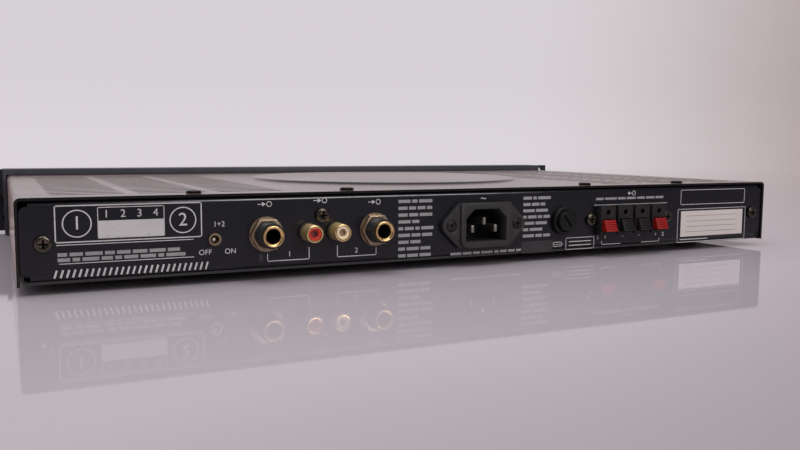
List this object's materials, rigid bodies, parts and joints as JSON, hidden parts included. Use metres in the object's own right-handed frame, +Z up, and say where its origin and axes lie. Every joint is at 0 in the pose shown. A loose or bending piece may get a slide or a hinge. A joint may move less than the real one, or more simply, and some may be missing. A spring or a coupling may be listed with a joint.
{
  "type": "power amplifier",
  "caption": "Slim rack-mount stereo power amplifier: vented black steel case with rack ears, level knobs at the front, jacks, phono sockets, mains inlet, fuse and push terminals at the rear",
  "frame": {"origin": "on the floor under the feet, at the middle of the outline's width and depth", "axes": "X right seen from the front, Y from front to rear, Z up"},
  "size_m": [0.4826, 0.2944, 0.0444],
  "materials": {
    "black_sheet": "satin powder coat",
    "black_front": "fine matt paint",
    "black_moulding": "fine texture",
    "black_screw": "black oxide",
    "yellow_zinc": "yellow zinc",
    "bright_steel": "bright zinc",
    "nickel": "nickel plate",
    "gold": "gold plate",
    "bronze": "dull plate",
    "red_moulding": "moulded",
    "white_moulding": "moulded",
    "foot_rubber": "matt",
    "clear_glass": "clear",
    "board": "solder mask",
    "winding": "varnished tape",
    "sink_metal": "extruded",
    "relay_case": "moulded",
    "lamp_lens": "clear tint"
  },
  "bodies": {
    "chassis": {"bottom_tray": "black_sheet", "front_wall": "black_sheet", "rear_panel": "black_sheet", "top_cover": "black_sheet", "front_bezel": "black_moulding", "front_plate": "black_front", "rubber_feet": "foot_rubber", "foot_screws": "bright_steel", "cover_screws": "black_screw", "panel_screws": "yellow_zinc", "bezel_screws": "black_screw", "front_plate_screws": "black_screw", "phone_jacks": "black_moulding", "jack_sleeves": "gold", "jack_nuts": "bronze", "jack_washers": "bronze", "rca_block": "black_moulding", "rca_shells": "gold", "rca_insert_red": "red_moulding", "rca_insert_white": "white_moulding", "bridge_switch": "nickel", "bridge_switch_nut": "nickel", "mains_inlet": "black_moulding", "inlet_pins": "bright_steel", "inlet_screws": "black_screw", "fuse_holder": "black_moulding", "fuse_holder_nut": "black_moulding", "terminal_block": "black_moulding", "terminal_contacts": "bronze", "main_board": "board", "input_board": "board", "front_board": "board", "board_standoffs": "bright_steel", "toroid_transformer": "winding", "transformer_pads": "foot_rubber", "transformer_washer": "bright_steel", "transformer_bolt": "bright_steel", "heatsink_right": "sink_metal", "heatsink_left": "sink_metal", "power_transistors": "black_moulding", "filter_capacitors": "sink_metal", "bridge_rectifier": "black_moulding", "output_relay": "relay_case", "level_pots": "sink_metal", "pot_nuts": "bright_steel", "power_switch": "black_moulding", "level_lamps": "lamp_lens"},
    "left_level": {"pot_shaft_left": "bright_steel", "level_knob_left": "black_moulding"},
    "right_level": {"pot_shaft_right": "bright_steel", "level_knob_right": "black_moulding"},
    "rocker": {"power_rocker": "black_moulding"},
    "bridge": {"bridge_lever": "nickel"},
    "fuse": {"fuse_tube": "clear_glass", "fuse_ends": "bright_steel"},
    "fuse_door": {"fuse_cap": "black_moulding"},
    "right_plus": {"lever_right_plus": "red_moulding"},
    "right_ground": {"lever_right_ground": "black_moulding"},
    "left_ground": {"lever_left_ground": "black_moulding"},
    "left_plus": {"lever_left_plus": "red_moulding"}
  },
  "joints": [
    {"name": "left_level_turn", "type": "hinge", "parent": "chassis", "child": "left_level", "pos_m": [0.092, -0.1322, 0.0226], "axis": [0, -1, 0], "range_deg": [-150, 150]},
    {"name": "right_level_turn", "type": "hinge", "parent": "chassis", "child": "right_level", "pos_m": [0.138, -0.1322, 0.0226], "axis": [0, -1, 0], "range_deg": [-150, 150]},
    {"name": "rocker_tilt", "type": "hinge", "parent": "chassis", "child": "rocker", "pos_m": [0.188, -0.1296, 0.0226], "axis": [-1, 0, 0], "range_deg": [0, 20]},
    {"name": "bridge_throw", "type": "hinge", "parent": "chassis", "child": "bridge", "pos_m": [0.1348, 0.1335, 0.0201], "axis": [0, 0, 1], "range_deg": [0, 24]},
    {"name": "fuse_pull", "type": "slide", "parent": "chassis", "child": "fuse", "axis": [0, 1, 0], "range_m": [0, 0.04]},
    {"name": "fuse_cap_turn", "type": "hinge", "parent": "fuse", "child": "fuse_door", "pos_m": [-0.0578, 0.135, 0.0213], "axis": [0, -1, 0], "range_deg": [0, 90]},
    {"name": "right_plus_press", "type": "hinge", "parent": "chassis", "child": "right_plus", "pos_m": [-0.0863, 0.1376, 0.0194], "axis": [-1, 0, 0], "range_deg": [0, 12], "stiffness_Nm_per_rad": 0.06},
    {"name": "right_ground_press", "type": "hinge", "parent": "chassis", "child": "right_ground", "pos_m": [-0.0989, 0.1376, 0.0194], "axis": [-1, 0, 0], "range_deg": [0, 12], "stiffness_Nm_per_rad": 0.06},
    {"name": "left_ground_press", "type": "hinge", "parent": "chassis", "child": "left_ground", "pos_m": [-0.1115, 0.1376, 0.0194], "axis": [-1, 0, 0], "range_deg": [0, 12], "stiffness_Nm_per_rad": 0.06},
    {"name": "left_plus_press", "type": "hinge", "parent": "chassis", "child": "left_plus", "pos_m": [-0.1241, 0.1376, 0.0194], "axis": [-1, 0, 0], "range_deg": [0, 12], "stiffness_Nm_per_rad": 0.06}
  ]
}
